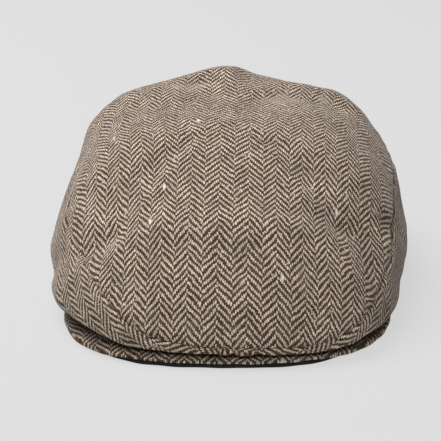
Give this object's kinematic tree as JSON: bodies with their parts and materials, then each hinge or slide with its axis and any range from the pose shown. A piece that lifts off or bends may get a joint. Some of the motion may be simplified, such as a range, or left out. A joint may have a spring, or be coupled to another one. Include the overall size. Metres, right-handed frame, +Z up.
{
  "type": "flat cap",
  "caption": "Soft herringbone tweed flat cap: a full crown of a top panel and side panels over a short curved peak, open underneath for the head.",
  "frame": {"origin": "centre of the cap's bounding box, on the surface it stands on", "axes": "+Z up; the peak points to -Y; +X is the wearer's left"},
  "size_m": [0.2149, 0.253, 0.1046],
  "materials": {
    "crown_tweed": "brown and cream herringbone wool tweed, soft and fuzzy",
    "side_tweed": "brown and cream herringbone wool tweed, greyer where it turns to the side",
    "peak_tweed": "brown and cream herringbone wool tweed, pressed smooth over the peak",
    "peak_lining": "near-black woven cloth, matt"
  },
  "bodies": {
    "root": {"crown_top_panel": "crown_tweed", "side_panel_left": "side_tweed", "side_panel_right": "side_tweed", "peak_top": "peak_tweed", "peak_under": "peak_lining"}
  },
  "joints": []
}
